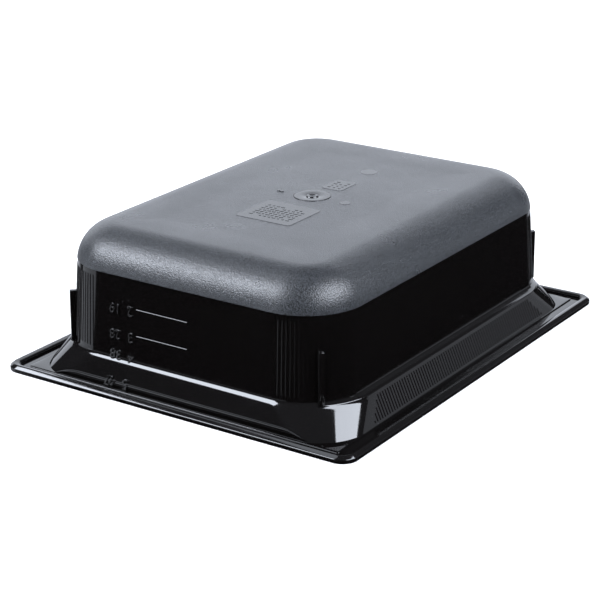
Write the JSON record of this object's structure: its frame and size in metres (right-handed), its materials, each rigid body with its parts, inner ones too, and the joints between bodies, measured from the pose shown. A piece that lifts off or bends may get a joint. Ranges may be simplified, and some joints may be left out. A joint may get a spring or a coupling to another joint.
{
  "type": "food pan",
  "caption": "Rectangular black plastic food pan with a flanged rim, an inner stacking ledge and a textured base, upside down on its rim.",
  "frame": {"origin": "middle of the plane that the rim rests on, with the pan upside down", "axes": "+Z out of the closed bottom of the pan, +Y along its long side, +X along its short side; the graduated end wall faces -Y"},
  "size_m": [0.2636, 0.324, 0.0982],
  "materials": {
    "polycarbonate": "polished walls and rim, fine textured base"
  },
  "bodies": {
    "root": {"food_pan": "polycarbonate"}
  },
  "joints": []
}
